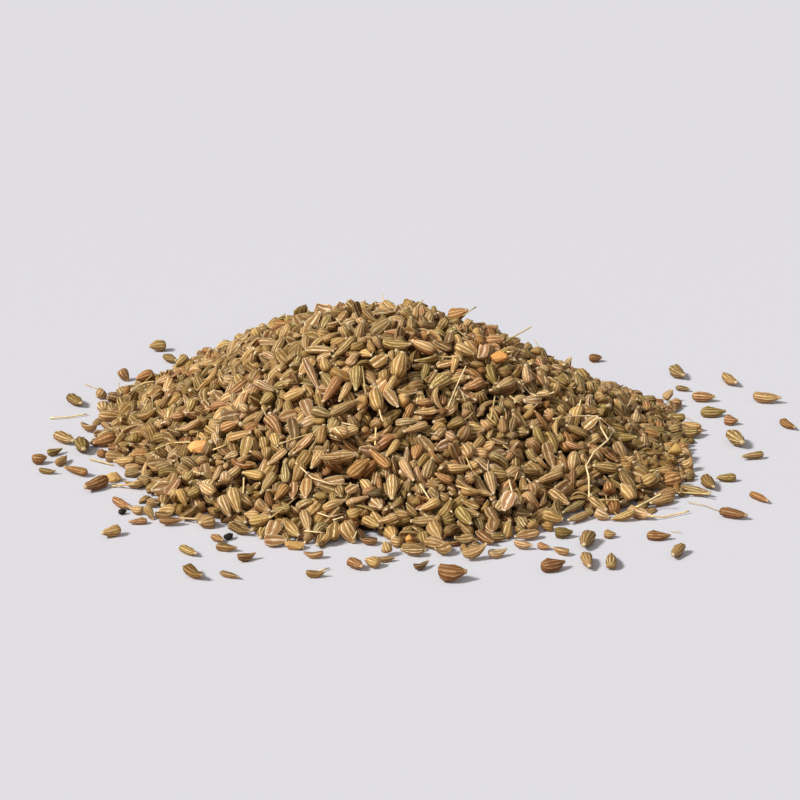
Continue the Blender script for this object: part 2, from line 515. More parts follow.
# ---- The seeds that stand out ----
# Those that catch the eye, by the pixels of their broad end and tip and their width in pixels,
# with what they are like. A half shows its face, its hollow or its back, or lies on its side.
STANDING_OUT = (
    ("crest_ring", (332, 311), (315, 306), 10, "khaki", "crescent", "side"),
    ("crest_tan", (357, 306), (339, 309), 11, "tan", "pear", "any"),
    ("crest_pale", (366, 307), (360, 317), 11, "khaki", "stout", "any"),
    ("crest_brown", (376, 304), (397, 308), 8, "tan", "open_half", "back"),
    ("crest_yellow", (371, 316), (396, 312), 9, "khaki", "open_half", "face"),
    ("crest_spike", (405, 313), (403, 299), 9, "green", "slim", "any"),
    ("crest_rust", (423, 317), (422, 306), 9, "rust", "stout", "any"),
    ("crest_olive", (411, 328), (411, 314), 10, "olive", "pear", "any"),
    ("crest_round", (356, 322), (341, 325), 11, "olive", "stout", "any"),
    ("crest_striped", (449, 317), (468, 312), 14, "rust", "pear", "any"),
    ("crest_end", (471, 310), (463, 321), 10, "khaki", "pear", "any"),
    ("crest_point", (483, 324), (498, 323), 7, "rust", "slim", "any"),
    ("crest_dark", (486, 342), (504, 340), 14, "rust", "pear", "any"),
    ("yellow_grain", (481, 335), (470, 335), 15, "grain", "grain", "any"),
    ("shoulder_pale", (455, 347), (474, 357), 13, "khaki", "pear", "any"),
    ("shoulder_face", (437, 368), (458, 361), 9, "tan", "open_half", "face"),
    ("shoulder_slim", (456, 369), (453, 389), 8, "khaki", "slim", "any"),
    ("shoulder_rust", (483, 383), (463, 391), 13, "rust", "pear", "any"),
    ("shoulder_round", (448, 383), (430, 394), 15, "olive", "pear", "any"),
    ("shoulder_yellow", (513, 385), (497, 392), 13, "khaki", "pear", "any"),
    ("shoulder_upright", (527, 384), (526, 364), 11, "tan", "pear", "any"),
    ("shoulder_striped", (549, 374), (532, 375), 10, "khaki", "pear", "any"),
    ("shoulder_orange", (538, 384), (546, 399), 10, "rust", "open_half", "back"),
    ("shoulder_tan", (555, 390), (552, 405), 12, "tan", "stout", "any"),
    ("top_pink", (360, 324), (368, 339), 12, "tan", "open_half", "back"),
    ("top_striped", (362, 320), (377, 333), 9, "tan", "open_half", "face"),
    ("top_brown", (406, 334), (384, 333), 9, "rust", "slim", "any"),
    ("top_long_half", (304, 349), (338, 351), 13, "olive", "open_half", "back"),
    ("top_slim", (357, 343), (331, 367), 10, "olive", "slim", "any"),
    ("top_pale_pear", (326, 372), (324, 357), 12, "tan", "pear", "any"),
    ("top_stalked", (348, 368), (357, 358), 11, "tan", "pear", "any"),
    ("top_husk", (313, 364), (301, 380), 13, "tan", "open_half", "face"),
    ("top_grey", (357, 372), (356, 397), 13, "green", "pear", "any"),
    ("great_pear", (398, 378), (402, 351), 17, "khaki", "pear", "any"),
    ("bent_dark", (382, 348), (411, 350), 11, "olive", "bowed", "any"),
    ("great_striped", (434, 355), (411, 345), 14, "tan", "pear", "any"),
    ("brown_pair_left", (387, 385), (377, 408), 9, "rust", "slim", "any"),
    ("brown_pair_right", (396, 384), (381, 408), 9, "tan", "slim", "any"),
    ("long_brown", (341, 385), (321, 414), 12, "rust", "slim", "any"),
    ("yellow_sliver", (304, 383), (317, 416), 8, "tan", "crescent", "face"),
    ("orange_end", (284, 402), (306, 392), 12, "tan", "pear", "any"),
    ("short_yellow", (350, 390), (339, 409), 9, "khaki", "pear", "any"),
    ("smooth_tan", (364, 397), (358, 411), 12, "tan", "grain", "any"),
    ("pale_pear", (378, 427), (375, 404), 15, "khaki", "pear_on_stalk", "any"),
    ("bent_olive", (330, 422), (358, 407), 10, "olive", "bowed", "any"),
    ("round_olive", (336, 427), (330, 438), 13, "olive", "stout", "any"),
    ("face_dark", (386, 404), (399, 420), 10, "olive", "open_half", "face"),
    ("orange_grain", (409, 405), (396, 405), 16, "grain", "grain", "any"),
    ("rust_short", (431, 403), (415, 404), 10, "rust", "pear", "any"),
    ("white_rim", (437, 415), (414, 417), 8, "tan", "open_half", "face"),
    ("green_half", (395, 425), (419, 424), 9, "green", "crescent", "back"),
    ("white_half", (314, 437), (294, 458), 12, "tan", "open_half", "face"),
    ("pale_cream", (358, 434), (335, 444), 11, "tan", "pear", "any"),
    ("big_tan", (348, 451), (331, 447), 13, "tan", "pear", "any"),
    ("khaki_lines", (323, 451), (311, 469), 12, "khaki", "pear", "any"),
    ("rust_tip_left", (389, 474), (370, 456), 12, "rust", "pear", "any"),
    ("grey_lines", (348, 480), (370, 464), 14, "rust", "open_half", "back"),
    ("big_khaki", (328, 465), (357, 461), 13, "khaki", "pear", "any"),
    ("rim_sliver", (319, 474), (344, 472), 7, "khaki", "crescent", "face"),
    ("khaki_right", (428, 433), (403, 441), 10, "khaki", "pear", "any"),
    ("orange_ribs", (419, 446), (414, 459), 12, "rust", "stout", "any"),
    ("yellow_slant", (399, 443), (386, 460), 9, "khaki", "pear", "any"),
    ("tan_slant", (402, 465), (414, 487), 10, "tan", "slim", "any"),
    ("olive_down", (393, 478), (392, 503), 13, "khaki", "pear", "any"),
    ("rust_sliver", (378, 476), (380, 491), 6, "rust", "crescent", "back"),
    ("left_round", (184, 417), (170, 419), 11, "rust", "pear", "any"),
    ("left_grey", (194, 410), (190, 424), 12, "olive", "pear", "any"),
    ("left_curve", (205, 427), (173, 439), 9, "khaki", "bowed", "any"),
    ("left_red", (221, 433), (239, 427), 11, "rust", "pear", "any"),
    ("left_pink_face", (228, 443), (252, 436), 11, "tan", "open_half", "face"),
    ("left_ribbed", (258, 387), (250, 404), 12, "rust", "pear", "any"),
    ("left_grey_back", (273, 396), (261, 407), 12, "green", "pear", "any"),
    ("left_orange", (254, 405), (274, 415), 9, "tan", "pear", "any"),
    ("left_pale", (248, 411), (239, 404), 11, "khaki", "stout", "any"),
    ("left_cream_face", (291, 424), (306, 407), 9, "tan", "open_half", "face"),
    ("left_yellow", (273, 436), (277, 450), 10, "khaki", "open_half", "back"),
    ("left_long_face", (287, 451), (268, 466), 8, "khaki", "open_half", "face"),
    ("left_upright", (286, 483), (285, 462), 10, "green", "pear", "any"),
    ("left_tan_fan", (263, 477), (243, 473), 12, "tan", "pear", "any"),
    ("left_lines_1", (222, 467), (213, 483), 9, "khaki", "slim", "any"),
    ("left_lines_2", (241, 472), (219, 487), 11, "khaki", "slim", "any"),
    ("left_lines_3", (214, 491), (202, 480), 12, "tan", "pear", "any"),
    ("left_green", (185, 487), (193, 478), 9, "green", "stout", "any"),
    ("left_dark_half", (238, 452), (223, 458), 8, "olive", "open_half", "back"),
    ("knob_on_end", (212, 496), (206, 504), 14, "khaki", "stout", "any"),
    ("orange_cup", (226, 497), (226, 487), 13, "tan", "stout", "any"),
    ("khaki_fan", (238, 503), (230, 487), 11, "khaki", "pear", "any"),
    ("twin_left", (223, 510), (229, 533), 13, "khaki", "pear", "any"),
    ("twin_right", (234, 509), (238, 535), 14, "khaki", "pear", "any"),
    ("yellow_ribs", (214, 522), (199, 525), 15, "khaki", "stout", "any"),
    ("tan_on_ribs", (213, 513), (200, 504), 12, "tan", "open_half", "back"),
    ("cream_back", (175, 508), (158, 509), 12, "tan", "open_half", "back"),
    ("cream_stripes", (181, 501), (186, 519), 11, "tan", "open_half", "back"),
    ("red_bowl", (159, 522), (183, 521), 10, "rust", "open_half", "bowl"),
    ("crumpled_khaki", (200, 490), (186, 497), 12, "green", "pear", "any"),
    ("pink_stripes", (241, 505), (253, 517), 11, "tan", "open_half", "back"),
    ("arched_brown", (256, 507), (269, 518), 12, "tan", "bowed", "any"),
    ("red_brown", (288, 491), (275, 506), 12, "rust", "pear", "any"),
    ("upright_face_1", (294, 483), (293, 500), 9, "rust", "open_half", "face"),
    ("upright_face_2", (307, 480), (306, 500), 11, "tan", "open_half", "face"),
    ("dark_green", (291, 514), (271, 518), 9, "green", "slim", "any"),
    ("long_tan", (250, 526), (272, 523), 12, "khaki", "slim", "any"),
    ("orange_bowl", (264, 542), (287, 541), 14, "tan", "open_half", "bowl"),
    ("tan_end", (287, 524), (299, 537), 13, "khaki", "pear", "any"),
    ("yellow_leaning", (304, 511), (309, 532), 12, "khaki", "pear", "any"),
    ("pale_long_1", (323, 510), (344, 502), 11, "tan", "pear", "any"),
    ("pale_long_2", (346, 504), (369, 497), 8, "tan", "open_half", "back"),
    ("rim_pair", (346, 494), (358, 486), 9, "tan", "open_half", "face"),
    ("orange_shred", (362, 491), (376, 485), 9, "rust", "crescent", "back"),
    ("brown_arch", (348, 519), (362, 514), 12, "khaki", "stout", "any"),
    ("pink_fan", (371, 512), (381, 528), 13, "tan", "open_half", "back"),
    ("brown_fan", (363, 524), (379, 532), 11, "khaki", "pear", "any"),
    ("striped_right", (398, 525), (378, 531), 10, "khaki", "pear", "any"),
    ("teardrop", (345, 533), (353, 555), 17, "khaki", "pear", "any"),
    ("curled", (327, 543), (330, 528), 9, "tan", "crescent", "side"),
    ("round_yellow", (402, 543), (390, 541), 12, "khaki", "stout", "any"),
    ("v_ribs", (388, 552), (385, 542), 12, "khaki", "stout", "any"),
    ("yellow_boat", (424, 552), (401, 551), 12, "khaki", "open_half", "bowl"),
    ("grey_lump", (423, 534), (425, 550), 12, "green", "stout", "any"),
    ("orange_right", (440, 502), (419, 512), 12, "tan", "pear", "any"),
    ("orange_long", (452, 484), (435, 475), 10, "rust", "pear", "any"),
    ("tan_long", (446, 469), (470, 468), 10, "tan", "slim", "any"),
    ("long_neck", (489, 473), (494, 496), 11, "khaki", "pear_on_stalk", "any"),
    ("grey_face", (461, 497), (482, 499), 9, "tan", "grain", "any"),
    ("pale_boat", (479, 509), (461, 501), 9, "khaki", "open_half", "face"),
    ("dark_arch", (498, 510), (512, 491), 12, "khaki", "bowed", "any"),
    ("great_olive", (458, 513), (471, 530), 13, "green", "pear", "any"),
    ("brown_face", (486, 509), (496, 523), 12, "khaki", "open_half", "face"),
    ("open_face", (513, 516), (505, 536), 15, "tan", "open_half", "face"),
    ("yellow_face", (494, 523), (492, 536), 12, "khaki", "open_half", "face"),
    ("striped_ball", (532, 493), (534, 505), 15, "khaki", "pear_on_stalk", "any"),
    ("olive_long", (563, 476), (534, 486), 11, "khaki", "slim", "any"),
    ("olive_lines", (549, 492), (569, 506), 13, "khaki", "pear", "any"),
    ("foot_lines", (542, 515), (563, 521), 13, "khaki", "pear", "any"),
    ("foot_split", (539, 533), (514, 538), 10, "tan", "open_half", "face"),
    ("foot_boat_1", (450, 549), (434, 552), 12, "khaki", "crescent", "bowl"),
    ("foot_boat_2", (463, 556), (488, 546), 11, "khaki", "bowed", "any"),
    ("foot_bent", (488, 555), (507, 551), 9, "tan", "bowed", "any"),
    ("foot_crescent", (513, 544), (532, 547), 8, "tan", "crescent", "side"),
    ("lined_face", (585, 430), (599, 417), 13, "khaki", "open_half", "face"),
    ("dark_olive", (586, 439), (565, 429), 10, "olive", "pear", "any"),
    ("orange_boat", (565, 447), (583, 453), 7, "rust", "crescent", "side"),
    ("right_khaki", (613, 437), (637, 438), 9, "green", "slim", "any"),
    ("right_red", (644, 433), (660, 436), 13, "rust", "pear", "any"),
    ("right_grey", (680, 433), (663, 436), 12, "olive", "pear", "any"),
    ("right_ribs", (616, 448), (625, 468), 12, "khaki", "pear", "any"),
    ("right_dark", (616, 475), (592, 472), 13, "olive", "pear", "any"),
    ("right_round", (643, 483), (658, 476), 14, "khaki", "stout", "any"),
    ("right_orange_1", (686, 449), (675, 456), 13, "rust", "stout", "any"),
    ("right_orange_2", (681, 459), (668, 464), 12, "grain", "grain", "any"),
    ("right_orange_3", (673, 474), (656, 472), 11, "tan", "pear", "any"),
    ("right_curl", (694, 467), (680, 472), 13, "khaki", "bowed", "any"),
    ("right_pink", (610, 494), (608, 484), 13, "rust", "stout", "any"),
    ("right_gold", (634, 503), (622, 488), 15, "tan", "open_half", "back"),
    ("right_tan", (673, 498), (649, 504), 11, "tan", "pear", "any"),
    ("stalked_foot", (628, 511), (651, 517), 12, "tan", "pear", "any"),
    ("right_foot_1", (636, 517), (611, 526), 9, "khaki", "slim", "any"),
    ("right_foot_2", (590, 499), (607, 512), 11, "khaki", "pear", "any"),
    ("right_foot_3", (584, 502), (562, 514), 9, "green", "slim", "any"),
    ("right_foot_4", (589, 514), (567, 521), 9, "khaki", "slim", "any"),
    ("right_foot_5", (595, 515), (609, 522), 12, "tan", "pear", "any"),
    ("pale_green_foot", (681, 488), (711, 494), 9, "green", "slim", "any"),
    ("right_back_1", (701, 428), (682, 424), 9, "tan", "slim", "any"),
    ("right_back_2", (664, 399), (673, 390), 9, "tan", "pear", "any"),
    ("right_back_3", (681, 404), (671, 402), 10, "rust", "stout", "any"),
    ("left_back_1", (199, 352), (188, 356), 10, "rust", "stout", "any"),
    ("left_back_2", (211, 352), (202, 350), 9, "rust", "stout", "any"),
    ("left_foot_1", (113, 484), (112, 471), 13, "tan", "open_half", "back"),
    ("left_foot_2", (96, 430), (80, 426), 10, "khaki", "crescent", "bowl"),
    ("left_foot_3", (99, 422), (122, 424), 13, "khaki", "pear", "any"),
    ("left_foot_4", (112, 432), (98, 437), 10, "olive", "pear", "any"),
    ("left_foot_5", (134, 461), (114, 462), 11, "tan", "pear", "any"),
    ("left_foot_6", (104, 395), (98, 402), 13, "khaki", "pear", "any"),
    ("left_foot_7", (143, 511), (130, 509), 10, "tan", "slim", "any"),
    ("left_foot_8", (147, 514), (153, 529), 9, "khaki", "pear", "any"),
    ("green_oval", (327, 496), (313, 496), 9, "green", "grain", "any"),
    ("grey_oval", (325, 425), (312, 425), 7, "olive", "grain", "any"),
    ("green_bead", (434, 310), (434, 316), 6, "green", "grain", "any"),
    ("olive_bead", (540, 356), (532, 356), 9, "olive", "grain", "any"),
    ("dark_crinkle", (382, 496), (369, 496), 11, "dark", "crumb", "any"),
    ("dark_bit_1", (604, 482), (598, 484), 8, "dark", "crumb", "any"),
    ("dark_bit_2", (594, 487), (588, 488), 6, "dark", "crumb", "any"),
    ("far_left_green", (135, 445), (135, 434), 13, "green", "stout", "any"),
    ("far_left_1", (154, 373), (136, 379), 13, "rust", "pear", "any"),
    ("far_left_2", (188, 367), (176, 378), 12, "olive", "pear", "any"),
    ("far_left_3", (121, 377), (128, 389), 11, "rust", "pear", "any"),
    ("far_left_4", (172, 380), (156, 385), 12, "khaki", "stout", "any"),
    ("far_left_5", (148, 388), (131, 392), 12, "olive", "pear", "any"),
    ("far_left_6", (230, 344), (216, 351), 12, "khaki", "pear", "any"),
    ("far_left_7", (216, 362), (201, 366), 12, "khaki", "pear", "any"),
)
eye = np.array(camera.location)
aim = np.array(camera.rotation_euler.to_matrix())
LYING_LEVEL = 0.85 * MM
CREST_LEAST = 3 * MM
CREST_REACH = 3 * MM
NEAREST_SEEN, FARTHEST_SEEN = 320 * MM, 620 * MM
MOST_FORESHORTENED = 1.45


def sight(pixel):
    """The direction from the camera through a pixel."""
    right, down = pixel[0] - PICTURE_PIXELS / 2, pixel[1] - PICTURE_PIXELS / 2
    line = aim @ np.array([right, -down, -FOCAL_PIXELS])
    return line / np.linalg.norm(line)


def cell_of(x, y):
    """The row and column of the cell at a place."""
    return int(round((y - grid_y[0]) / CELL)), int(round((x - grid_x[0]) / CELL))


def met(pixel, heights, level):
    """Where the line of sight through a pixel meets the heap, its crest, or the level round it."""
    points = eye + sight(pixel) * np.arange(NEAREST_SEEN, FARTHEST_SEEN, CELL)[:, None]
    rows = np.clip(((points[:, 1] - grid_y[0]) / CELL).round().astype(int), 0, len(grid_y) - 1)
    columns = np.clip(((points[:, 0] - grid_x[0]) / CELL).round().astype(int), 0, len(grid_x) - 1)
    ground = heights[rows, columns]
    gap = points[:, 2] - np.maximum(ground, level)
    first = int(np.argmax(gap < 0))
    over = np.where(ground[:first] > CREST_LEAST, gap[:first], np.inf)
    if ground[first] < CREST_LEAST and over.min(initial=np.inf) < CREST_REACH:
        first = int(np.argmin(over))
    return points[first]


def ends_of(broad, tip, heights):
    """Both ends of a seed in space. One that would lie far too long is leaning up instead."""
    start, end = met(broad, heights, LYING_LEVEL), met(tip, heights, LYING_LEVEL)
    reach = np.linalg.norm(start - eye)
    seen_length = math.dist(broad, tip) * reach / FOCAL_PIXELS
    if np.linalg.norm(end - start) > MOST_FORESHORTENED * seen_length:
        end = eye + sight(tip) * reach
    return start, end, reach / FOCAL_PIXELS


SPIN = {"any": 0.25, "back": 0.0, "face": 1.0, "side": 0.5, "bowl": 1.0}
SPIN_SPREAD = 0.15
SHORTEST, LONGEST = 2.0 * MM, 6.0 * MM
FELT_BESIDE = 1.5 * MM
MOST_LIFT = 1.1 * MM
MOST_TILT = 1.0
MARKED_TONE = 0.68
HEADROOM = 0.2 * MM
mark_rng = np.random.default_rng(3)
lying_on = np.where(edge, np.maximum(thin_foot - BELOW_SURFACE, LYING_LEVEL), 0)
for name, broad, tip, width, kind, shape_name, showing in STANDING_OUT:
    start, end, pixel = ends_of(broad, tip, lying_on)
    run = end - start
    number = shape_number[shape_name]
    shape = SHAPES[number]
    length = np.clip(np.linalg.norm(run), SHORTEST, LONGEST)
    across = width * pixel
    scale = np.array([length / shape.length, across / shape.width, across / shape.width]) / MM
    yaw = math.atan2(run[1], run[0])
    pitch = math.atan2(run[2], math.hypot(run[0], run[1]))
    pitch = min(max(pitch, -MOST_TILT), MOST_TILT)
    x, y, z = (start + end) / 2
    row, column = cell_of(x, y)
    roll = slope_at(surface, row, column, yaw + math.pi / 2, FELT_BESIDE)
    turn = turned(yaw, pitch, roll, SPIN[showing] * math.pi + mark_rng.normal(0, SPIN_SPREAD))
    height, window, reached = settle(turn, half_sizes(shape, scale), row, column)
    if clear[window][reached > 0].any():
        continue
    lift = min(max(0, z - height), MOST_LIFT)
    version = int(mark_rng.integers(VERSIONS))
    tone = MARKED_TONE + (1 - MARKED_TONE) * mark_rng.random()
    lay(Seed(x, y, height + lift, turn, number, version, scale, kind, tone), window,
        np.where(reached > 0, reached + lift, -1), HEADROOM)
marked = len(seeds)
MISSES_AT_LAST = 230
pour(thin_foot, MISSES_AT_LAST)
# How much of each seed shows from above, in square millimetres.
seen = np.bincount(owner[owner >= 0], minlength=len(seeds)) * (CELL / MM)**2

# ---- Laying the seeds ----
# Seeds of one colour make one piece. A tree of nodes sets a shape on each resting place, turned
# and sized as it lies, and joins them into one mesh. Each seed has its own square of the map.
lay_tree = bpy.data.node_groups.new("lay seeds", "GeometryNodeTree")
for label, kind in (("Resting places", "NodeSocketGeometry"), ("Shapes", "NodeSocketCollection"),
                    ("Skin", "NodeSocketMaterial"), ("Size", "NodeSocketFloat")):
    lay_tree.interface.new_socket(name=label, in_out="INPUT", socket_type=kind)
lay_tree.interface.new_socket(name="Seeds", in_out="OUTPUT", socket_type="NodeSocketGeometry")
lay_tree.is_modifier = True
lay_links = lay_tree.links


def own_value(label, data_type):
    """What each resting place says of its seed."""
    node = lay_tree.nodes.new("GeometryNodeInputNamedAttribute")
    node.data_type = data_type
    node.inputs["Name"].default_value = label
    return next(socket for socket in node.outputs if socket.name == "Attribute" and socket.enabled)


given = lay_tree.nodes.new("NodeGroupInput")
picked = lay_tree.nodes.new("GeometryNodeCollectionInfo")
picked.inputs["Separate Children"].default_value = True
picked.inputs["Reset Children"].default_value = True
placed = lay_tree.nodes.new("GeometryNodeInstanceOnPoints")
placed.inputs["Pick Instance"].default_value = True
sized = lay_tree.nodes.new("ShaderNodeVectorMath")
sized.operation = "SCALE"
joined = lay_tree.nodes.new("GeometryNodeRealizeInstances")
dressed = lay_tree.nodes.new("GeometryNodeSetMaterial")
handed_on = lay_tree.nodes.new("NodeGroupOutput")
lay_links.new(given.outputs["Shapes"], picked.inputs["Collection"])
lay_links.new(given.outputs["Resting places"], placed.inputs["Points"])
lay_links.new(picked.outputs["Instances"], placed.inputs["Instance"])
lay_links.new(own_value("shape", "INT"), placed.inputs["Instance Index"])
lay_links.new(own_value("turn", "QUATERNION"), placed.inputs["Rotation"])
lay_links.new(own_value("size", "FLOAT_VECTOR"), sized.inputs[0])
lay_links.new(given.outputs["Size"], sized.inputs["Scale"])
lay_links.new(sized.outputs["Vector"], placed.inputs["Scale"])
lay_links.new(placed.outputs["Instances"], joined.inputs["Geometry"])
lay_links.new(joined.outputs["Geometry"], dressed.inputs["Geometry"])
lay_links.new(given.outputs["Skin"], dressed.inputs["Material"])
lay_links.new(dressed.outputs["Geometry"], handed_on.inputs["Seeds"])
lay_sockets = {s.name: s.identifier for s in lay_tree.interface.items_tree if s.in_out == "INPUT"}

PRESSED = 0.06 * MM
PRESSED_SHARE = 0.03
MAP_RIM = 0.05


def lay_seeds(name, laid, shapes, skin):
    """These seeds as one plain mesh. What would dip into the board lies flat on it."""
    points = bpy.data.meshes.new(name + "_places")
    points.from_pydata([(seed.x, seed.y, seed.z) for seed in laid], [], [])
    turns = [tuple(Matrix(seed.turn.tolist()).to_quaternion()) for seed in laid]
    values = (
        ("turn", "QUATERNION", "value", np.array(turns, np.float32)),
        ("size", "FLOAT_VECTOR", "vector", np.array([seed.scale for seed in laid], np.float32)),
        ("shape", "INT", "value", np.array([VERSIONS * s.shape + s.version for s in laid])),
        ("tone", "FLOAT", "value", np.array([seed.tone for seed in laid], np.float32)),
        ("number", "INT", "value", np.arange(len(laid))),
    )
    for label, data_type, field, numbers in values:
        attribute = points.attributes.new(label, data_type, "POINT")
        attribute.data.foreach_set(field, numbers.ravel())
    holder = bpy.data.objects.new(name + "_places", points)
    scene.collection.objects.link(holder)
    laying = holder.modifiers.new("lay seeds", "NODES")
    laying.node_group = lay_tree
    laying[lay_sockets["Shapes"]] = shapes
    laying[lay_sockets["Skin"]] = skin
    laying[lay_sockets["Size"]] = 1.0
    depsgraph = bpy.context.evaluated_depsgraph_get()
    mesh = bpy.data.meshes.new_from_object(holder.evaluated_get(depsgraph),
                                           preserve_all_data_layers=True, depsgraph=depsgraph)
    mesh.name = name
    bpy.data.objects.remove(holder)
    bpy.data.meshes.remove(points)
    places = np.empty(len(mesh.vertices) * 3, np.float32)
    mesh.vertices.foreach_get("co", places)
    places[2::3] = np.maximum(places[2::3], PRESSED + PRESSED_SHARE * places[2::3])
    mesh.vertices.foreach_set("co", places)
    number = np.empty(len(mesh.vertices), np.int32)
    mesh.attributes["number"].data.foreach_get("value", number)
    corners = np.empty(len(mesh.loops), np.int32)
    mesh.loops.foreach_get("vertex_index", corners)
    side = math.ceil(math.sqrt(len(laid)))
    square = number[corners]
    spots = np.empty(len(mesh.loops) * 2, np.float32)
    layer = mesh.uv_layers["OFBake"]
    layer.uv.foreach_get("vector", spots)
    spots = MAP_RIM + (1 - 2 * MAP_RIM) * spots.reshape(-1, 2)
    spots = (spots + np.stack([square % side, square // side], 1)) / side
    layer.uv.foreach_set("vector", spots.astype(np.float32).ravel())
    for label in ("turn", "size", "shape", "number"):
        if label in mesh.attributes:
            mesh.attributes.remove(mesh.attributes[label])
    piece = bpy.data.objects.new(name, mesh)
    scene.collection.objects.link(piece)
    return piece


# ---- The skin of a seed ----
# Dry, papery and matt. Thin pale ribs stand on a darker ground with fine hairs and dust on it,
# and the furrows are darker still. A split face is browner, with a pale rim and middle line.
skin_group = bpy.data.node_groups.new("ribbed skin", "ShaderNodeTree")
for label, kind, value in (
        ("Ground", "NodeSocketColor", (0.3, 0.2, 0.1, 1)),
        ("Rib", "NodeSocketColor", (0.6, 0.45, 0.25, 1)),
        ("Split face", "NodeSocketColor", (0.3, 0.17, 0.08, 1)),
        ("Dark tone", "NodeSocketColor", (0.7, 0.6, 0.5, 1)),
        ("Light tone", "NodeSocketColor", (1.2, 1.15, 1.0, 1)),
        ("Rib edge", "NodeSocketFloat", 0.5)):
    made = skin_group.interface.new_socket(name=label, in_out="INPUT", socket_type=kind)
    made.default_value = value
for label, kind in (("Colour", "NodeSocketColor"), ("Roughness", "NodeSocketFloat"),
                    ("Height", "NodeSocketFloat")):
    skin_group.interface.new_socket(name=label, in_out="OUTPUT", socket_type=kind)


def skin_link(value, socket):
    """A value set on a socket of the skin, or another node's output led to it."""
    if isinstance(value, bpy.types.NodeSocket):
        skin_group.links.new(value, socket)
    else:
        socket.default_value = value


def surface_value(label):
    """What the mesh says of a place on it."""
    node = skin_group.nodes.new("ShaderNodeAttribute")
    node.attribute_name = label
    return node.outputs["Fac"]


def maths(operation, *values):
    """A sum, product or other result of these values."""
    node = skin_group.nodes.new("ShaderNodeMath")
    node.operation = operation
    for socket, value in zip(node.inputs, values):
        skin_link(value, socket)
    return node.outputs["Value"]


def blended(blend, amount, one, other):
    """One colour with some of another in it."""
    node = skin_group.nodes.new("ShaderNodeMix")
    node.data_type = "RGBA"
    node.blend_type = blend
    for socket, value in ((node.inputs[0], amount), (node.inputs[6], one), (node.inputs[7], other)):
        skin_link(value, socket)
    return node.outputs[2]


def rising(value, start, end):
    """0 below start, 1 above end, and soft in between."""
    node = skin_group.nodes.new("ShaderNodeMapRange")
    node.interpolation_type = "SMOOTHSTEP"
    for label, given_value in (("Value", value), ("From Min", start), ("From Max", end)):
        skin_link(given_value, node.inputs[label])
    return node.outputs["Result"]


def speckle(scale, detail):
    """Soft spots between 0 and 1, that lie still on the seed."""
    node = skin_group.nodes.new("ShaderNodeTexNoise")
    node.inputs["Scale"].default_value = scale
    node.inputs["Detail"].default_value = detail
    skin_group.links.new(object_place, node.inputs["Vector"])
    return node.outputs["Fac"]


def chance(factor):
    """A number between 0 and 1 for each seed, another one for each factor."""
    return maths("FRACT", maths("MULTIPLY", surface_value("tone"), factor))


object_place = skin_group.nodes.new("ShaderNodeTexCoord").outputs["Object"]
skin_in = skin_group.nodes.new("NodeGroupInput").outputs
skin_out = skin_group.nodes.new("NodeGroupOutput").inputs
BLOTCH_TINT = (0.70, 0.54, 0.40, 1)
FURROW_TINT = (0.50, 0.34, 0.17, 1)
MOTTLE_TINT = (0.56, 0.43, 0.28, 1)
UNDERSIDE_TINT = (0.46, 0.28, 0.10, 1)
GREENISH, REDDISH = (0.98, 1.01, 0.95, 1), (1.02, 0.985, 0.98, 1)
YELLOWISH, DUSTY = (1.0, 1.0, 0.86, 1), (0.98, 1.0, 1.20, 1)
blotch = speckle(520, 2)
mottle = speckle(1500, 3)
hairs = speckle(5200, 2)
rib = surface_value("rib")
uneven_rib = maths("ADD", rib, maths("MULTIPLY", maths("SUBTRACT", mottle, 0.5), 1.0))
rib_mask = rising(uneven_rib, skin_in["Rib edge"], maths("ADD", skin_in["Rib edge"], 0.24))
rib_mask = maths("MULTIPLY", rib_mask, maths("ADD", 0.45, maths("MULTIPLY", chance(7.3), 0.55)))
ground = blended("MIX", surface_value("inner"), skin_in["Ground"], skin_in["Split face"])
ground = blended("MULTIPLY", maths("MULTIPLY", rising(blotch, 0.5, 0.68), 0.55), ground,
                 BLOTCH_TINT)
furrow = maths("SUBTRACT", 1.0, rising(rib, 0.0, 0.34))
ground = blended("MULTIPLY", maths("MULTIPLY", furrow, 0.8), ground, FURROW_TINT)
coloured = blended("MIX", rib_mask, ground, skin_in["Rib"])
tone = blended("MIX", surface_value("tone"), skin_in["Dark tone"], skin_in["Light tone"])
coloured = blended("MULTIPLY", 1.0, coloured, tone)
leaning = blended("MIX", chance(13.7), GREENISH, REDDISH)
coloured = blended("MULTIPLY", 1.0, coloured, leaning)
dusted = blended("MIX", chance(19.1), YELLOWISH, DUSTY)
coloured = blended("MULTIPLY", 1.0, coloured, dusted)
knob = rising(surface_value("along"), 0.88, 0.96)
coloured = blended("MIX", maths("MULTIPLY", knob, 0.5), coloured, skin_in["Rib"])
coloured = blended("MULTIPLY", maths("MULTIPLY", rising(mottle, 0.52, 0.75), 0.4), coloured,
                   MOTTLE_TINT)
upwards = skin_group.nodes.new("ShaderNodeSeparateXYZ")
skin_group.links.new(skin_group.nodes.new("ShaderNodeNewGeometry").outputs["Normal"],
                     upwards.inputs["Vector"])
underside = maths("SUBTRACT", 1.0, rising(upwards.outputs["Z"], -0.45, 0.40))
coloured = blended("MULTIPLY", maths("MULTIPLY", underside, 0.65), coloured, UNDERSIDE_TINT)
skin_group.links.new(coloured, skin_out["Colour"])
skin_group.links.new(maths("ADD", 0.55, maths("MULTIPLY", hairs, 0.3)), skin_out["Roughness"])
skin_group.links.new(maths("ADD", hairs, maths("MULTIPLY", mottle, 0.8)), skin_out["Height"])


def paint(*shade):
    """A colour as it is read off a picture, as the linear value that a socket takes."""
    return tuple(value / 255 / 12.92 if value < 10.31 else ((value / 255 + 0.055) / 1.055)**2.4
                 for value in shade) + (1,)


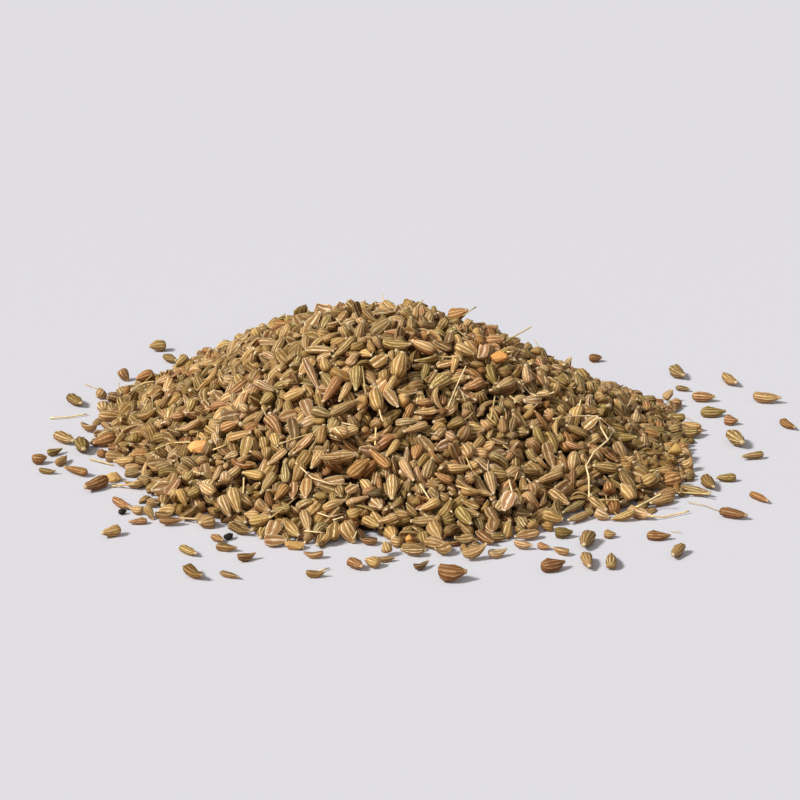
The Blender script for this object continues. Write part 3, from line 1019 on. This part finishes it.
DARK_TONE = (0.65, 0.58, 0.47, 1)
LIGHT_TONE = (1.26, 1.24, 1.21, 1)
RIB_EDGE = 0.70
HAIR_RELIEF = 0.08 * MM


def seed_skin(name, ground, rib_colour, split_face, dark=DARK_TONE, light=LIGHT_TONE):
    """The material of one kind of seed."""
    skin = bpy.data.materials.new(name)
    skin.use_nodes = True
    nodes, links = skin.node_tree.nodes, skin.node_tree.links
    finish = nodes["Principled BSDF"]
    ribbed = nodes.new("ShaderNodeGroup")
    ribbed.node_tree = skin_group
    for label, value in (("Ground", ground), ("Rib", rib_colour), ("Split face", split_face),
                         ("Dark tone", dark), ("Light tone", light), ("Rib edge", RIB_EDGE)):
        ribbed.inputs[label].default_value = value
    relief = nodes.new("ShaderNodeBump")
    relief.inputs["Strength"].default_value = 0.5
    relief.inputs["Distance"].default_value = HAIR_RELIEF
    links.new(ribbed.outputs["Colour"], finish.inputs["Base Color"])
    links.new(ribbed.outputs["Roughness"], finish.inputs["Roughness"])
    links.new(ribbed.outputs["Height"], relief.inputs["Height"])
    links.new(relief.outputs["Normal"], finish.inputs["Normal"])
    finish.inputs["Specular IOR Level"].default_value = 0.3
    return skin


# ---- The seeds of the heap, kind by kind ----
# Most are olive to khaki, many a paler tan or greener, and a few rusty brown, all mixed through
# the heap. Each kind is two pieces, its whole fruits and its halves. Smooth grains lie between.
Kind = namedtuple("Kind", "name slot share ground rib face")
KINDS = (
    Kind("olive", "seed_olive", 0.23, (156, 127, 74), (244, 227, 188), (147, 115, 74)),
    Kind("khaki", "seed_olive", 0.28, (175, 141, 85), (250, 233, 196), (157, 123, 80)),
    Kind("green", "seed_green", 0.15, (150, 126, 72), (242, 227, 184), (150, 120, 73)),
    Kind("tan", "seed_tan", 0.25, (191, 154, 99), (253, 238, 206), (167, 129, 86)),
    Kind("rust", "seed_rust", 0.09, (162, 116, 70), (240, 211, 164), (153, 112, 72)),
)
skins = {kind.name: seed_skin("skin " + kind.name, paint(*kind.ground), paint(*kind.rib),
                              paint(*kind.face)) for kind in KINDS}
skins["grain"] = seed_skin("skin grain", paint(204, 168, 108), paint(230, 198, 142),
                           paint(204, 168, 108), (0.86, 0.86, 0.80, 1), (1.06, 1.0, 0.92, 1))
skins["dark"] = seed_skin("skin dark", paint(96, 80, 56), paint(134, 114, 82), paint(60, 46, 32))
skins["black"] = seed_skin("skin black", paint(34, 38, 32), paint(74, 76, 62), paint(16, 18, 16))
skins["beneath"] = seed_skin("skin beneath", paint(96, 64, 30), paint(170, 132, 80),
                             paint(90, 60, 30))
FOOT_HEIGHT = 10 * MM
FOOT_TONE = 0.65
for number, seed in enumerate(seeds):
    duller = FOOT_TONE + (1 - FOOT_TONE) * min(seed.z / FOOT_HEIGHT, 1)
    seeds[number] = seed._replace(tone=seed.tone * duller)
kind_rng = np.random.default_rng(21)
kind_names = [kind.name for kind in KINDS]
drawn = kind_rng.choice(kind_names, size=len(seeds), p=[kind.share for kind in KINDS])
kind_of = np.array([seed.kind or drawn[number] for number, seed in enumerate(seeds)])
is_half = np.array([SHAPES[seed.shape].half for seed in seeds])
stands_out = np.arange(len(seeds)) < marked
stands_out &= np.array([seed.kind is not None for seed in seeds])
WELL_SEEN = 2.2
HARDLY_SEEN = 0.4
DEEPER_TONE = 0.55
well_seen = (seen > WELL_SEEN) | stands_out
shown = (seen > HARDLY_SEEN) | stands_out


def heap_piece(name, members, skin):
    """Some of the heap's seeds as one piece, those that are well seen with all their ribs."""
    parts = [lay_seeds(name, [seeds[i] for i in members if well_seen[i]], fine_shapes, skin)]
    partly = [seeds[i]._replace(tone=DEEPER_TONE * seeds[i].tone) for i in members
              if not well_seen[i]]
    if partly:
        parts.append(lay_seeds(name + "_partly", partly, middle_shapes, skin))
    for part, half_map in zip(parts if partly else (), (0.0, 0.5)):
        layer = part.data.uv_layers["OFBake"]
        spots = np.empty(len(part.data.loops) * 2, np.float32)
        layer.uv.foreach_get("vector", spots)
        spots = spots.reshape(-1, 2)
        spots[:, 1] = spots[:, 1] / 2 + half_map
        layer.uv.foreach_set("vector", spots.ravel())
    made = bmesh.new()
    for part in parts:
        made.from_mesh(part.data)
    whole = parts[0]
    made.to_mesh(whole.data)
    made.free()
    for part in parts[1:]:
        bpy.data.objects.remove(part)
    whole.data.name = name
    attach(whole, "root")
    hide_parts("heap")
    return whole


for kind in KINDS:
    for label, halves in (("whole", False), ("halves", True)):
        members = np.flatnonzero((kind_of == kind.name) & shown & (is_half == halves))
        heap_piece(f"seeds_{kind.name}_{label}", members, skins[kind.name])
heap_piece("grains", np.flatnonzero((kind_of == "grain") & shown), skins["grain"])
heap_piece("dark_bits", np.flatnonzero((kind_of == "dark") & shown), skins["dark"])

# ---- The seeds beneath ----
# Those that lie under others and show only through the gaps between them. They are the same dry
# fruits, in plainer shapes and one darker skin.
DEEPEST_SEEN = 4.6 * MM
beneath = []
for number in np.flatnonzero(~shown):
    seed = seeds[number]
    if seed.z > surface[cell_of(seed.x, seed.y)] - DEEPEST_SEEN:
        beneath.append(seed)
under = lay_seeds("seeds_beneath", beneath, plain_shapes, skins["beneath"])
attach(under, "root")
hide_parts("heap")

# ---- Broken stalks ----
# Thin straw-coloured bits of stalk, broken off the fruits, lie over the heap and by its foot.
# Each is a bent tube over the pixels where it is seen, and more lie on the back.
STALKS = (
    ("middle_long", (296, 463), (312, 478), (330, 484), (348, 484)),
    ("on_white_half", (290, 440), (312, 433)),
    ("under_olive_1", (335, 428), (343, 437)),
    ("under_olive_2", (342, 423), (357, 426)),
    ("by_khaki_lines", (317, 452), (327, 463)),
    ("upright_pale", (362, 366), (366, 396)),
    ("pear_stalk", (376, 428), (375, 445)),
    ("grain_stalk", (403, 396), (422, 391)),
    ("leaning_1", (448, 407), (457, 385), (466, 366)),
    ("leaning_2", (450, 406), (458, 390)),
    ("white_one", (453, 327), (469, 339)),
    ("level_one", (433, 357), (456, 357)),
    ("crest_hook", (463, 316), (471, 310), (476, 307)),
    ("short_1", (484, 383), (489, 383)),
    ("upright_right", (491, 418), (495, 396)),
    ("short_2", (507, 352), (514, 352)),
    ("above_crest", (503, 343), (513, 337), (531, 327)),
    ("bent_right", (519, 382), (530, 393), (536, 396)),
    ("right_1", (510, 396), (522, 405)),
    ("right_2", (503, 445), (521, 458)),
    ("right_3", (549, 453), (560, 459)),
    ("right_4", (466, 457), (472, 470)),
    ("right_5", (420, 484), (430, 500)),
    ("right_6", (457, 486), (470, 490)),
    ("right_7", (509, 480), (513, 495), (520, 504)),
    ("right_8", (516, 490), (527, 489)),
    ("right_9", (451, 511), (454, 515)),
    ("low_1", (318, 513), (330, 517), (342, 514)),
    ("low_2", (333, 520), (343, 517)),
    ("low_3", (305, 531), (326, 533)),
    ("low_4", (353, 540), (357, 531)),
    ("left_1", (156, 449), (170, 443), (190, 442)),
    ("left_2", (213, 450), (228, 444)),
    ("left_3", (243, 388), (248, 402), (252, 408)),
    ("left_4", (228, 403), (240, 409)),
    ("left_5", (279, 444), (300, 437)),
    ("left_6", (290, 453), (299, 444)),
    ("left_7", (244, 478), (243, 497)),
    ("left_8", (270, 518), (284, 508), (297, 497)),
    ("left_9", (180, 518), (200, 519)),
    ("left_10", (90, 459), (113, 465)),
    ("left_11", (118, 485), (134, 485)),
    ("left_12", (148, 400), (140, 415)),
    ("thread_1", (553, 419), (575, 416), (599, 416)),
    ("thread_2", (599, 418), (601, 428), (608, 440), (594, 452), (586, 466), (589, 478), (589, 497)),
    ("thread_3", (600, 418), (614, 430), (608, 440)),
    ("foot_1", (606, 495), (608, 510)),
    ("foot_2", (600, 500), (619, 500)),
    ("foot_3", (637, 507), (661, 494)),
    ("foot_4", (650, 471), (668, 466)),
    ("foot_5", (672, 492), (710, 494)),
    ("board_left_1", (50, 418), (68, 417), (87, 414)),
    ("board_left_2", (112, 486), (135, 484)),
    ("board_left_3", (85, 384), (99, 390)),
    ("board_right_1", (650, 516), (664, 517), (689, 511)),
    ("board_right_2", (688, 502), (704, 505), (720, 511)),
    ("board_right_3", (671, 531), (681, 532)),
    ("board_front_1", (319, 571), (329, 568)),
    ("board_front_2", (303, 548), (305, 541)),
)
STALK_STEP = 5
STALK_WIDTHS = (0.19 * MM, 0.34 * MM)
STALK_SIDES = 5
HAIRS = ("board_right_2", "board_right_3", "board_left_3")
HAIR_SHARE = 0.45
UNSEEN_STALKS = 30
BEHIND_CREST = 13 * MM
CLEAR_OF_SEEDS = 0.6 * MM
DEPTH_SHARE = 0.8
SEEN_PULL, UNSEEN_PULL = 0.15, 0.8
UNSEEN_LENGTHS = (4, 10)
UNSEEN_BEND = 0.12
UNSEEN_STEPS = 6
UNSEEN_FROM = 2 * MM
BROKEN_END = 1.5
ON_THE_BOARD = 0.02 * MM
NEARLY_UPRIGHT = 0.9
pile = np.where(clear, 0, top)
stalk_rng = np.random.default_rng(17)


def eased(line, pull):
    """Distances along a bent stalk: a smooth run that only a few seeds stand above."""
    place = np.linspace(-1, 1, len(line))
    run = np.polyval(np.polyfit(place, line, min(2, len(line) - 1)), place)
    return run + np.quantile(line - run, pull)


def seen_stalk(pixels):
    """The middle line of a stalk, by the pixels that it passes."""
    steps = [pixels[0]]
    for start, end in zip(pixels, pixels[1:]):
        parts = max(2, round(math.dist(start, end) / STALK_STEP))
        for part in range(1, parts + 1):
            steps.append([a + (b - a) * part / parts for a, b in zip(start, end)])
    reach = np.array([np.linalg.norm(met(pixel, pile, STALK_WIDTHS[0]) - eye) for pixel in steps])
    span = DEPTH_SHARE * math.dist(pixels[0], pixels[-1]) * reach[0] / FOCAL_PIXELS
    reach = eased(np.clip(reach, reach[0] - span, reach[0] + span), SEEN_PULL) - CLEAR_OF_SEEDS
    return [eye + sight(pixel) * far for pixel, far in zip(steps, reach)]


def unseen_stalk():
    """The middle line of a stalk that fell on the back."""
    while True:
        x = stalk_rng.uniform(low.x, high.x)
        y = stalk_rng.uniform((low.y + high.y) / 2 + BEHIND_CREST, high.y)
        if pile[cell_of(x, y)] > UNSEEN_FROM:
            break
    yaw, length = stalk_rng.uniform(0, 2 * math.pi), stalk_rng.uniform(*UNSEEN_LENGTHS) * MM
    bend = stalk_rng.uniform(-UNSEEN_BEND, UNSEEN_BEND) * length
    places = []
    for along in np.linspace(-1, 1, UNSEEN_STEPS):
        aside = bend * (1 - along**2)
        places.append((x + along * length / 2 * math.cos(yaw) - aside * math.sin(yaw),
                       y + along * length / 2 * math.sin(yaw) + aside * math.cos(yaw)))
    heights = eased(np.array([pile[cell_of(*place)] for place in places]), UNSEEN_PULL)
    return [np.array([*place, max(height, STALK_WIDTHS[0])])
            for place, height in zip(places, heights)]


stalk_points, stalk_faces, stalk_tones = [], [], []
lines = [(name, seen_stalk(pixels)) for name, *pixels in STALKS]
lines += [("unseen", unseen_stalk()) for _ in range(UNSEEN_STALKS)]
for name, line in lines:
    radius = stalk_rng.uniform(*STALK_WIDTHS) / 2
    if name in HAIRS:
        radius *= HAIR_SHARE
    start = len(stalk_points)
    for step, point in enumerate(line):
        tangent = Vector(line[min(step + 1, len(line) - 1)] - line[max(step - 1, 0)]).normalized()
        if abs(tangent.z) > NEARLY_UPRIGHT:
            aside = tangent.orthogonal()
        else:
            aside = tangent.cross(Vector((0, 0, 1)))
        aside.normalize()
        over = aside.cross(tangent)
        swell = radius * (BROKEN_END if step == 0 else 1)
        for side in range(STALK_SIDES):
            turn = 2 * math.pi * side / STALK_SIDES
            spot = Vector(point) + swell * (math.cos(turn) * aside + math.sin(turn) * over)
            stalk_points.append((spot.x, spot.y, max(spot.z, ON_THE_BOARD)))
    for step in range(len(line) - 1):
        for side in range(STALK_SIDES):
            here = start + step * STALK_SIDES
            after = (side + 1) % STALK_SIDES
            stalk_faces.append((here + side, here + after, here + STALK_SIDES + after,
                                here + STALK_SIDES + side))
    stalk_faces.append(tuple(start + side for side in reversed(range(STALK_SIDES))))
    end = start + (len(line) - 1) * STALK_SIDES
    stalk_faces.append(tuple(end + side for side in range(STALK_SIDES)))
    stalk_tones += [stalk_rng.random()] * (len(stalk_points) - start)
stalk_mesh = bpy.data.meshes.new("stalks")
stalk_mesh.from_pydata(stalk_points, [], stalk_faces)
stalk_mesh.attributes.new("tone", "FLOAT", "POINT").data.foreach_set("value", stalk_tones)
stalk_mesh.attributes.new("rib", "FLOAT", "POINT").data.foreach_set(
    "value", [PLAIN_GROUND] * len(stalk_points))
stalk_mesh.shade_smooth()
upright = bmesh.new()
upright.from_mesh(stalk_mesh)
bmesh.ops.recalc_face_normals(upright, faces=upright.faces)
upright.to_mesh(stalk_mesh)
upright.free()
STRAW = paint(246, 224, 172)
stalk_mesh.materials.append(seed_skin("skin stalk", STRAW, STRAW, STRAW))
stalks = bpy.data.objects.new("stalks", stalk_mesh)
scene.collection.objects.link(stalks)
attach(stalks, "root")
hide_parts("heap")

# ---- Chips ----
# Small hard flakes, some orange and some of pale chaff, with broken edges, among the seeds. Each
# is the hull of scattered corners, over the pixel where it is seen.
CHIPS = (
    ("big_orange", (200, 447), 20, 12, (238, 178, 116)),
    ("top_orange", (500, 357), 16, 9, (208, 150, 86)),
    ("foot_orange", (409, 540), 7, 10, (226, 170, 104)),
    ("front_chaff", (294, 545), 18, 8, (190, 150, 96)),
    ("left_chaff", (113, 478), 14, 10, (206, 168, 112)),
    ("grain_husk", (398, 482), 9, 6, (214, 178, 120)),
)
CHIP_LIFT = 1.3 * MM
CHIP_FULLER = 1.25
CHIP_CORNERS = 26
CHIP_LEVEL = 0.7 * MM
CHIP_DEPTH = 0.75
CHIP_UNEVEN = (0.80, 1.1)
CHIP_TONE = 0.75
chip_rng = np.random.default_rng(29)
chip_forms = bmesh.new()
chip_skins = []
for number, (name, pixel, wide, tall, shade) in enumerate(CHIPS):
    place = met(pixel, pile, CHIP_LEVEL)
    if pile[cell_of(*place[:2])] > 0:
        place = place - CHIP_LIFT * sight(pixel)
    scale = np.linalg.norm(place - eye) / FOCAL_PIXELS
    size = np.array([wide, CHIP_DEPTH * wide, tall]) * scale * CHIP_FULLER / 2
    corners = chip_rng.normal(0, 1, (CHIP_CORNERS, 3))
    corners /= np.linalg.norm(corners, axis=1)[:, None]
    corners *= size * chip_rng.uniform(*CHIP_UNEVEN, (CHIP_CORNERS, 1))
    corners[:, 2] = np.maximum(corners[:, 2], -place[2])
    made = [chip_forms.verts.new(place + corner) for corner in corners]
    hull = bmesh.ops.convex_hull(chip_forms, input=made)
    for face in hull["geom"]:
        if isinstance(face, bmesh.types.BMFace):
            face.material_index = number
    chip_skins.append(seed_skin("skin " + name, paint(*shade), paint(*shade), paint(*shade)))
bmesh.ops.delete(chip_forms, geom=[v for v in chip_forms.verts if not v.link_faces],
                 context="VERTS")
chip_mesh = bpy.data.meshes.new("chips")
bmesh.ops.recalc_face_normals(chip_forms, faces=chip_forms.faces)
chip_forms.to_mesh(chip_mesh)
chip_forms.free()
for label, value in (("tone", CHIP_TONE), ("rib", PLAIN_GROUND)):
    chip_mesh.attributes.new(label, "FLOAT", "POINT").data.foreach_set(
        "value", [value] * len(chip_mesh.vertices))
for skin in chip_skins:
    chip_mesh.materials.append(skin)
chips = bpy.data.objects.new("chips", chip_mesh)
scene.collection.objects.link(chips)
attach(chips, "root")
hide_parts("heap")

# ---- The heap's core ----
# The mass of seeds further in, which only shows as deep brown shade behind the widest gaps. It is
# a net below the surface of the solid heap, closed down to the board.
CORE_STEP = 6
CORE_DEPTH = 3.8 * MM
CORE_DARK, CORE_LIGHT = (22, 9, 2), (62, 36, 14)
CORE_SPECKLE = 420
core_x, core_y = grid_x[::CORE_STEP], grid_y[::CORE_STEP]
core_heights = surface[::CORE_STEP, ::CORE_STEP] - CORE_DEPTH
core = bmesh.new()
net = {}
for row in range(len(core_y)):
    for column in range(len(core_x)):
        if core_heights[row, column] > 0:
            place = (core_x[column], core_y[row], core_heights[row, column])
            net[row, column] = core.verts.new(place)
for row, column in list(net):
    square = [(row, column), (row, column + 1), (row + 1, column + 1), (row + 1, column)]
    if all(place in net for place in square):
        core.faces.new([net[place] for place in square])
bmesh.ops.delete(core, geom=[v for v in core.verts if not v.link_faces], context="VERTS")
rim = [side for side in core.edges if side.is_boundary]
for item in bmesh.ops.extrude_edge_only(core, edges=rim)["geom"]:
    if isinstance(item, bmesh.types.BMVert):
        item.co.z = 0.0
bmesh.ops.holes_fill(core, edges=[side for side in core.edges if side.is_boundary], sides=0)
bmesh.ops.recalc_face_normals(core, faces=core.faces)
core_mesh = bpy.data.meshes.new("heap_core")
core.to_mesh(core_mesh)
core.free()
core_skin = bpy.data.materials.new("shade between seeds")
core_skin.use_nodes = True
core_nodes, core_links = core_skin.node_tree.nodes, core_skin.node_tree.links
core_finish = core_nodes["Principled BSDF"]
core_noise = core_nodes.new("ShaderNodeTexNoise")
core_ramp = core_nodes.new("ShaderNodeValToRGB")
core_noise.inputs["Scale"].default_value = CORE_SPECKLE
core_ramp.color_ramp.elements[0].color = paint(*CORE_DARK)
core_ramp.color_ramp.elements[1].color = paint(*CORE_LIGHT)
core_links.new(core_nodes.new("ShaderNodeTexCoord").outputs["Object"], core_noise.inputs["Vector"])
core_links.new(core_noise.outputs["Fac"], core_ramp.inputs["Fac"])
core_links.new(core_ramp.outputs["Color"], core_finish.inputs["Base Color"])
core_finish.inputs["Roughness"].default_value = 0.95
core_mesh.materials.append(core_skin)
core_piece = bpy.data.objects.new("heap_core", core_mesh)
scene.collection.objects.link(core_piece)
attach(core_piece, "root")
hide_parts("heap")

# ---- The loose seeds round the heap ----
# Each lies where its solid lies, as long as that and a little fuller. It is whole, or a split
# half on its back.
slot_of = {part["node"]: part["material_slot"] for part in frame["record"]["subparts"]}
LOOSE_SKINS = {"seed_olive": "olive", "seed_tan": "tan", "seed_rust": "rust",
               "seed_green": "green", "seed_dark": "black"}
LOOSE_SHAPES = ("stout", "pear", "pear", "slim")
LOOSE_BOATS = ("open_half", "crescent")
BOAT_FLATNESS = 0.8
LOOSE_FULLER = (1.03, 1.24, 1.22)
BOATS_FULLER = (1.04, 1.24, 1.55)
LOOSE_TONES = (0.0, 0.7)
loose_rng = np.random.default_rng(5)
loose = {}
for name, node in sorted(frame["nodes"].items()):
    if name == "heap":
        continue
    points = np.array([v.co for v in node.data.vertices])
    flat = points[:, :2]
    axis = np.linalg.svd(flat - flat.mean(0), full_matrices=False)[2][0]
    reach = flat @ axis
    if reach.mean() > (reach.min() + reach.max()) / 2:
        axis, reach = -axis, -reach
    sideways = np.array([-axis[1], axis[0]])
    side = flat @ sideways
    size = np.array([np.ptp(reach), np.ptp(side), np.ptp(points[:, 2])])
    middle = axis * (reach.min() + reach.max()) / 2 + sideways * (side.min() + side.max()) / 2
    boat = size[2] < BOAT_FLATNESS * size[1]
    number = shape_number[loose_rng.choice(LOOSE_BOATS if boat else LOOSE_SHAPES)]
    version = int(loose_rng.integers(VERSIONS))
    form = fine_shapes.objects[VERSIONS * number + version].data
    turn = turned(math.atan2(axis[1], axis[0]), 0, 0, math.pi if boat else 0)
    plain = turned(0, 0, 0, math.pi if boat else 0)
    body = np.array([v.co for v in form.vertices]) @ plain.T
    extent = np.ptp(body, axis=0)
    scale = size / extent * (BOATS_FULLER if boat else LOOSE_FULLER)
    height = points[:, 2].min() - body[:, 2].min() * scale[2]
    seed = Seed(middle[0], middle[1], height, turn, number, version, scale, None,
                loose_rng.uniform(*LOOSE_TONES))
    loose.setdefault(slot_of[name], []).append((name, seed))
for slot, laid in loose.items():
    piece = lay_seeds("loose_" + slot, [seed for _, seed in laid], fine_shapes,
                      skins[LOOSE_SKINS[slot]])
    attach(piece, "root")
    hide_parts(*[name for name, _ in laid])

# The single shapes have been laid, and aren't seeds of the heap themselves.
for group in (fine_shapes, middle_shapes, plain_shapes):
    for item in list(group.objects):
        bpy.data.objects.remove(item)
    bpy.data.collections.remove(group)
